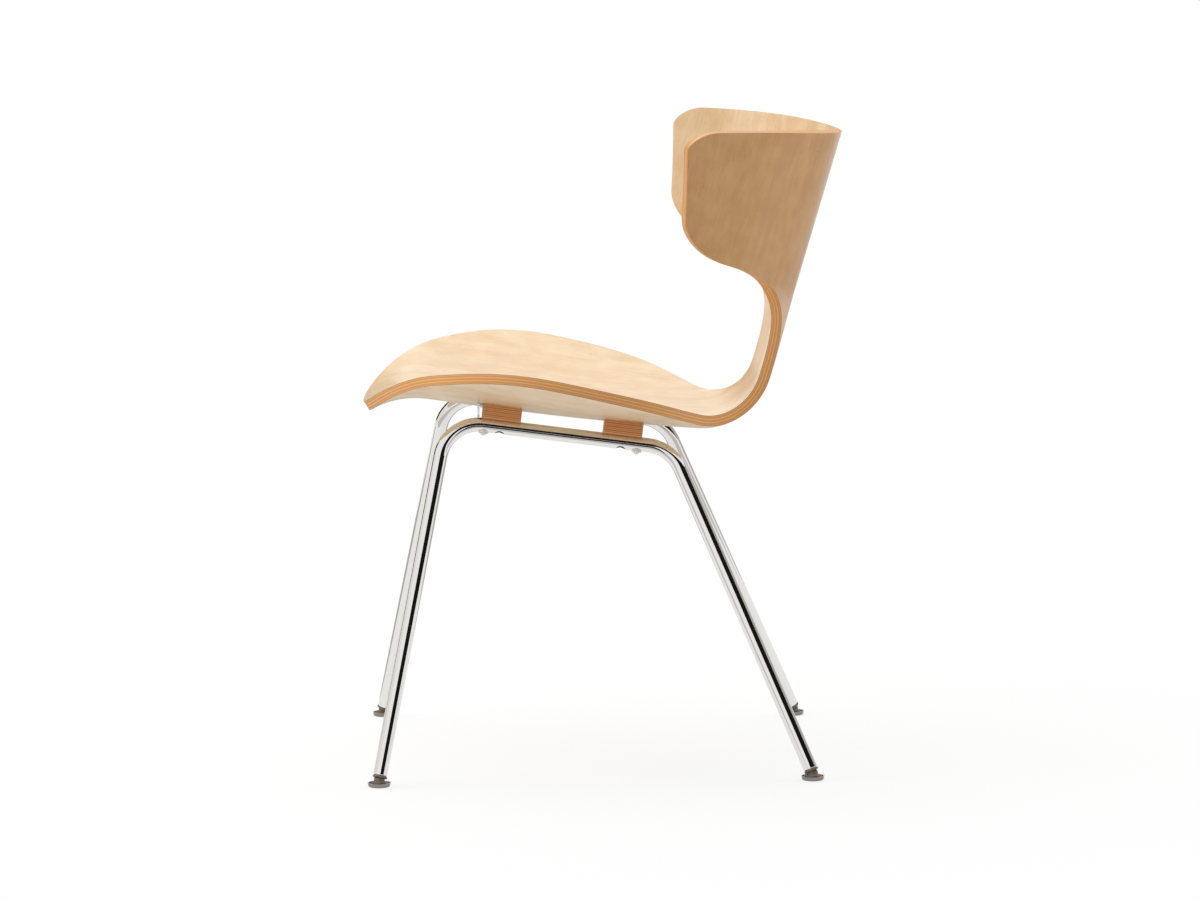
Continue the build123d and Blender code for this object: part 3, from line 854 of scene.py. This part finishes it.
def ply_edge_material(settings, ply_group):
    """Cut edge of the shell."""
    material, tree, shader = new_material("plywood_edge")
    plies = use_group(tree, ply_group)
    depth = attribute(tree, "depth")
    tree.links.new(depth, plies.inputs["Depth"])
    set_socket(plies, "Ply", SHELL_THICKNESS / settings.ply_count)
    tree.links.new(object_place(tree), plies.inputs["Vector"])
    colour = colour_mix(tree, plies.outputs["Tone"], settings.ply_light, settings.ply_dark)
    glue = scaled(tree, plies.outputs["Line"], GLUE_STRENGTH)
    colour = colour_mix(tree, glue, colour, settings.glue_colour)
    from_middle = math_node(tree, "ABSOLUTE", math_node(tree, "SUBTRACT", depth, SHELL_THICKNESS / 2))
    rim = ramp(tree, from_middle, *(SHELL_THICKNESS * share for share in RIM_RANGE))
    colour = colour_mix(tree, scaled(tree, rim, RIM_STRENGTH), colour, settings.rim_colour)
    finish_plies(tree, shader, colour, plies.outputs["Tone"])
    set_socket(shader, "Coat Roughness", EDGE_LACQUER_ROUGHNESS)
    return material


def spacer_material(settings, ply_group, up):
    """Plywood blocks with their plies square to the screws."""
    material, tree, shader = new_material("spacer_plywood")
    place = object_place(tree)
    mirrored = tree.nodes.new("ShaderNodeVectorMath")
    mirrored.operation = "ABSOLUTE"
    tree.links.new(place, mirrored.inputs[0])
    parts = tree.nodes.new("ShaderNodeSeparateXYZ")
    tree.links.new(place, parts.inputs[0])
    sides = tree.nodes.new("ShaderNodeSeparateXYZ")
    tree.links.new(mirrored.outputs[0], sides.inputs[0])
    level = scaled(tree, sides.outputs["X"], up.x)
    level = math_node(tree, "MULTIPLY_ADD", parts.outputs["Y"], up.y, level)
    level = math_node(tree, "MULTIPLY_ADD", parts.outputs["Z"], up.z, level)
    plies = use_group(tree, ply_group)
    tree.links.new(level, plies.inputs["Depth"])
    set_socket(plies, "Ply", SPACER_PLY)
    tree.links.new(place, plies.inputs["Vector"])
    colour = colour_mix(tree, plies.outputs["Tone"], settings.spacer_light, settings.spacer_dark)
    glue = scaled(tree, plies.outputs["Line"], SPACER_GLUE_STRENGTH)
    colour = colour_mix(tree, glue, colour, settings.spacer_line)
    finish_plies(tree, shader, colour, plies.outputs["Tone"])
    return material


def clouded(tree, pattern, strength, colour, tone):
    """Colour that darkens a little with a pattern."""
    return colour_mix(tree, scaled(tree, pattern, strength), colour, [tone * part for part in colour])


def metal_material(name, colour, roughness, pitch):
    """Metal with faint polishing marks."""
    material, tree, shader = new_material(name)
    place = object_place(tree)
    marks = stretched_noise(tree, place, pitch, FINE_DETAIL)
    haze = stretched_noise(tree, place, HAZE_PITCH)
    tree.links.new(clouded(tree, haze, HAZE_STRENGTH, colour, HAZE_TONE), shader.inputs["Base Color"])
    set_socket(shader, "Metallic", 1.0)
    add_roughness(tree, shader, marks, roughness, roughness * SMOOTHEST_SHARE)
    add_bump(tree, shader, marks, MARK_HEIGHT)
    return material


def plastic_material(name, colour, roughness, transmission):
    """Moulded plastic with a fine skin texture."""
    material, tree, shader = new_material(name)
    place = object_place(tree)
    skin = stretched_noise(tree, place, SKIN_PITCH, COARSE_DETAIL)
    clouds = stretched_noise(tree, place, CLOUD_PITCH)
    tree.links.new(clouded(tree, clouds, CLOUD_STRENGTH, colour, CLOUD_TONE), shader.inputs["Base Color"])
    add_roughness(tree, shader, skin, SKIN_ROUGHNESS, roughness)
    set_socket(shader, "Transmission Weight", transmission)
    set_socket(shader, "IOR", PLASTIC_IOR)
    add_bump(tree, shader, skin, SKIN_HEIGHT)
    return material


def seen_directly(tree):
    """1 for rays from the camera, from gloss and through clear material."""
    path = tree.nodes.new("ShaderNodeLightPath")
    seen = math_node(tree, "MAXIMUM", path.outputs["Is Camera Ray"], path.outputs["Is Glossy Ray"])
    return math_node(tree, "MAXIMUM", seen, path.outputs["Is Transmission Ray"])


# Pieces

class CHAIR_OT_shell(bpy.types.Operator):
    """Moulded plywood seat and back, with its plies showing on the cut edge"""

    bl_idname = "chair.shell"
    bl_label = "Shell"

    def execute(self, context):
        settings = context.scene.chair_shell
        places = shell_places()
        points = inner_face(places[..., 0], places[..., 1])
        front_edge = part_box("seat_shell")[0].y
        points[..., 1] += front_edge - (SEAT_REAR_Y - SEAT_DEPTH)
        deselect()
        bpy.ops.mesh.primitive_grid_add(x_subdivisions=SHELL_COLUMNS, y_subdivisions=SHELL_ROWS, size=2.0)
        shell = context.object
        shell.name = "moulded_shell"
        mesh = shell.data
        cells = [
            (round((vertex.co.y + 1) / 2 * SHELL_ROWS), round((vertex.co.x + 1) / 2 * SHELL_COLUMNS))
            for vertex in mesh.vertices
        ]
        for vertex, cell in zip(mesh.vertices, cells):
            vertex.co = points[cell]
        grain = mesh.uv_layers.active
        grain.name = "grain"
        for loop in mesh.loops:
            grain.data[loop.index].uv = places[cells[loop.vertex_index]]
        inside = BVHTree.FromPolygons(
            [vertex.co for vertex in mesh.vertices], [tuple(face.vertices) for face in mesh.polygons]
        )
        mesh.materials.append(veneer_material(settings, wood_fibre_group()))
        mesh.materials.append(ply_edge_material(settings, ply_lines_group()))
        wall = shell.modifiers.new("wall", "SOLIDIFY")
        wall.thickness = SHELL_THICKNESS
        wall.offset = -1.0
        wall.use_even_offset = True
        wall.material_offset_rim = 1
        edge = shell.modifiers.new("edge", "BEVEL")
        edge.width = settings.edge_round
        edge.segments = EDGE_SEGMENTS
        edge.limit_method = "ANGLE"
        edge.angle_limit = math.radians(EDGE_ANGLE)
        apply_modifiers(shell)
        bpy.ops.object.shade_smooth()
        depth = mesh.attributes.new("depth", "FLOAT", "POINT")
        for vertex in mesh.vertices:
            _, _, _, distance = inside.find_nearest(vertex.co)
            depth.data[vertex.index].value = distance
        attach(shell, "chair")
        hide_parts("seat_shell")
        return {"FINISHED"}


class CHAIR_OT_frames(bpy.types.Operator):
    """Chromed side frames and their cross brace"""

    bl_idname = "chair.frames"
    bl_label = "Frames"

    def execute(self, context):
        settings = context.scene.chair_metal
        chrome = metal_material("polished_chrome", settings.chrome_colour, *POLISHED_CHROME)
        dress(["side_frame_left", "side_frame_right", "front_cross_brace"], chrome)
        return {"FINISHED"}


class CHAIR_OT_spacers(bpy.types.Operator):
    """Plywood spacers between the rails and the shell"""

    bl_idname = "chair.spacers"
    bl_label = "Spacers"

    def execute(self, context):
        _, front_leg = glide("front_left")
        along = (rail_bend("rear_left") - rail_bend("front_left")).normalized()
        up = (front_leg - along * front_leg.dot(along)).normalized()
        plies = bpy.data.node_groups["ply_lines"]
        dress(at_corners("spacer"), spacer_material(context.scene.chair_shell, plies, up))
        return {"FINISHED"}


class CHAIR_OT_fittings(bpy.types.Operator):
    """Screws, washers, inserts and stacking bumpers"""

    bl_idname = "chair.fittings"
    bl_label = "Fittings"

    def execute(self, context):
        metal = context.scene.chair_metal
        plastic = context.scene.chair_plastic
        zinc = metal_material("zinc_plate", metal.steel_colour, *ZINC_PLATE)
        brass = metal_material("plain_brass", metal.brass_colour, *PLAIN_BRASS)
        cloudy = plastic_material("cloudy_plastic", plastic.bumper_colour, *CLOUDY_PLASTIC)
        dress(at_corners("frame_screw") + at_corners("saddle_washer"), zinc)
        dress(at_corners("threaded_insert"), brass)
        dress(at_corners("stack_bumper"), cloudy)
        return {"FINISHED"}


class CHAIR_OT_glides(bpy.types.Operator):
    """Plugs, ball studs, sockets and shoes under the legs"""

    bl_idname = "chair.glides"
    bl_label = "Glides"

    def execute(self, context):
        metal = context.scene.chair_metal
        plastic = context.scene.chair_plastic
        shoe = metal_material("pressed_steel", metal.shoe_colour, *PRESSED_STEEL)
        stud = metal_material("turned_steel", metal.steel_colour, *TURNED_STEEL)
        smoky = plastic_material("smoky_plastic", plastic.glide_colour, *SMOKY_PLASTIC)
        dress(at_corners("glide_shoe"), shoe)
        dress(at_corners("glide_stud"), stud)
        dress(at_corners("glide_socket"), smoky)
        collar_shape = lathe("glide_collar", COLLAR, smoky)
        end_shape = lathe("leg_end", LEG_END, bpy.data.materials["polished_chrome"])
        for corner in CORNERS:
            collar = copy_to_leg(collar_shape, corner)
            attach(collar, "chair")
            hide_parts(f"glide_plug_{corner}")
            leg_end = copy_to_leg(end_shape, corner)
            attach(leg_end, "chair")
        for shape in (collar_shape, end_shape):
            bpy.data.meshes.remove(shape.data)
        return {"FINISHED"}


class CHAIR_OT_stage(bpy.types.Operator):
    """Pale floor, soft light and the camera"""

    bl_idname = "chair.stage"
    bl_label = "Stage"

    def execute(self, context):
        settings = context.scene.chair_stage
        self.floor(settings)
        self.world(context.scene, settings)
        for name, (place, size, power, in_chrome) in STUDIO_LIGHTS.items():
            self.lamp(name, place, size, getattr(settings, power), in_chrome)
        for name, (tone, place, size, angles) in STUDIO_CARDS.items():
            self.card(name, tone, place, size, angles)
        self.camera(context.scene, settings)
        context.scene.view_settings.view_transform = "Standard"
        return {"FINISHED"}

    def floor(self, settings):
        deselect()
        bpy.ops.mesh.primitive_plane_add(size=FLOOR_SIZE, location=(0, 0, -FLOOR_DROP))
        floor = bpy.context.object
        floor.name = "studio_floor"
        material, tree, shader = new_material("studio_floor")
        set_socket(shader, "Base Color", (*settings.floor_colour, 1.0))
        set_socket(shader, "Roughness", FLOOR_ROUGHNESS)
        set_socket(shader, "Specular IOR Level", 0.0)
        reach = tree.nodes.new("ShaderNodeVectorMath")
        reach.operation = "LENGTH"
        tree.links.new(object_place(tree), reach.inputs[0])
        fade = ramp(tree, reach.outputs["Value"], FLOOR_FADE_START, settings.floor_reach)
        share = math_node(tree, "MULTIPLY_ADD", fade, 1 - settings.floor_glow, settings.floor_glow)
        glow = tree.nodes.new("ShaderNodeEmission")
        both = tree.nodes.new("ShaderNodeMixShader")
        tree.links.new(math_node(tree, "MULTIPLY", seen_directly(tree), share), both.inputs[0])
        tree.links.new(shader.outputs[0], both.inputs[1])
        tree.links.new(glow.outputs[0], both.inputs[2])
        tree.links.new(both.outputs[0], tree.nodes["Material Output"].inputs["Surface"])
        floor.data.materials.append(material)

    def world(self, scene, settings):
        world = bpy.data.worlds.new("studio")
        world.use_nodes = True
        scene.world = world
        tree = world.node_tree
        background = tree.nodes["Background"]
        level = tree.nodes.new("ShaderNodeMix")
        set_socket(level, "A", settings.world_light)
        set_socket(level, "B", 1.0)
        tree.links.new(seen_directly(tree), level.inputs["Factor"])
        tree.links.new(level.outputs["Result"], background.inputs["Strength"])
        set_socket(background, "Color", (1.0, 1.0, 1.0, 1.0))

    def lamp(self, name, place, size, power, in_chrome):
        """Soft square light that points at the seat."""
        deselect()
        bpy.ops.object.light_add(type="AREA", location=place)
        lamp = bpy.context.object
        lamp.name = name
        lamp.data.energy = power
        lamp.data.size = size
        lamp.rotation_euler = (Vector(LIT_POINT) - lamp.location).to_track_quat("-Z", "Y").to_euler()
        lamp.visible_glossy = in_chrome

    def card(self, name, tone, place, size, angles):
        """Darker part of the studio, which shows only in gloss."""
        deselect()
        tilt, turn = (math.radians(angle) for angle in angles)
        bpy.ops.mesh.primitive_plane_add(size=1.0, location=place, rotation=(tilt, 0, turn))
        card = bpy.context.object
        card.name = name
        card.scale = (*size, 1.0)
        material, _, shader = new_material(name)
        set_socket(shader, "Base Color", (0.0, 0.0, 0.0, 1.0))
        set_socket(shader, "Specular IOR Level", 0.0)
        set_socket(shader, "Emission Color", (*CARD_COLOUR, 1.0))
        set_socket(shader, "Emission Strength", tone)
        card.data.materials.append(material)
        card.visible_camera = False
        card.visible_diffuse = False
        card.visible_shadow = False
        card.visible_transmission = False

    def camera(self, scene, settings):
        deselect()
        bpy.ops.object.camera_add()
        camera = bpy.context.object
        yaw, pitch, roll = (math.radians(angle) for angle in settings.camera_turn)
        level = Matrix(((-math.sin(yaw), 0, math.cos(yaw)), (math.cos(yaw), 0, math.sin(yaw)), (0, 1, 0)))
        tilt = Matrix.Rotation(-pitch, 3, "X") @ Matrix.Rotation(roll, 3, "Z")
        camera.matrix_world = Matrix.Translation(settings.camera_place) @ (level @ tilt).to_4x4()
        camera.data.lens = settings.camera_lens
        camera.data.clip_end = CAMERA_REACH
        scene.camera = camera


class CHAIR_PT_panel(bpy.types.Panel):
    """Lists the chair's pieces"""

    bl_label = "Stacking chair"
    bl_idname = "CHAIR_PT_panel"
    bl_space_type = "VIEW_3D"
    bl_region_type = "UI"
    bl_category = "Chair"

    def draw(self, context):
        for operator in PIECES:
            self.layout.operator(operator.bl_idname)
        for group in SETTINGS:
            settings = getattr(context.scene, group)
            for name in settings.__annotations__:
                self.layout.prop(settings, name)


PIECES = (
    CHAIR_OT_shell,
    CHAIR_OT_frames,
    CHAIR_OT_spacers,
    CHAIR_OT_fittings,
    CHAIR_OT_glides,
    CHAIR_OT_stage,
)
SETTINGS = {
    "chair_shell": ShellSettings,
    "chair_metal": MetalSettings,
    "chair_plastic": PlasticSettings,
    "chair_stage": StageSettings,
}
CLASSES = (*SETTINGS.values(), *PIECES, CHAIR_PT_panel)


def register():
    for item in CLASSES:
        bpy.utils.register_class(item)
    for name, group in SETTINGS.items():
        setattr(bpy.types.Scene, name, bpy.props.PointerProperty(type=group))


def unregister():
    for name in SETTINGS:
        delattr(bpy.types.Scene, name)
    for item in reversed(CLASSES):
        bpy.utils.unregister_class(item)


def main():
    register()
    bpy.ops.chair.shell()
    bpy.ops.chair.frames()
    bpy.ops.chair.spacers()
    bpy.ops.chair.fittings()
    bpy.ops.chair.glides()
    bpy.ops.chair.stage()


if __name__ == "__main__":
    main()
